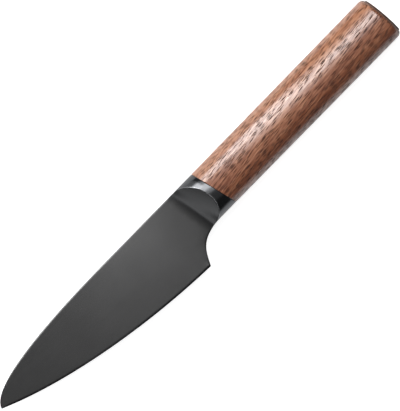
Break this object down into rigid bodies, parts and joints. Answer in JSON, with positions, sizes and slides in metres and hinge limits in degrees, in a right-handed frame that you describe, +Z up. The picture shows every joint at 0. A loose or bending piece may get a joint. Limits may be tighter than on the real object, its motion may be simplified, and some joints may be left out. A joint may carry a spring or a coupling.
{
  "type": "fruit knife",
  "caption": "Small kitchen knife with a flat-ground satin black blade, arched shoulders in an oval gloss black bolster, and a straight oval walnut handle.",
  "frame": {"origin": "centre of the bounding box at its base, under the middle of the knife's length as it lies on its side", "axes": "+X along the handle's axis towards the butt, the knife's longest extent; +Y towards the spine; +Z up, across the knife's thickness, its shortest extent"},
  "size_m": [0.24, 0.0344, 0.017],
  "materials": {
    "black_blade_steel": "satin black coating",
    "gloss_black_steel": "polished gloss black",
    "walnut": "oiled satin with open pores",
    "epoxy": "cured resin"
  },
  "bodies": {
    "root": {"blade": "black_blade_steel", "bolster": "gloss_black_steel", "handle": "walnut", "tang_epoxy": "epoxy"}
  },
  "joints": []
}
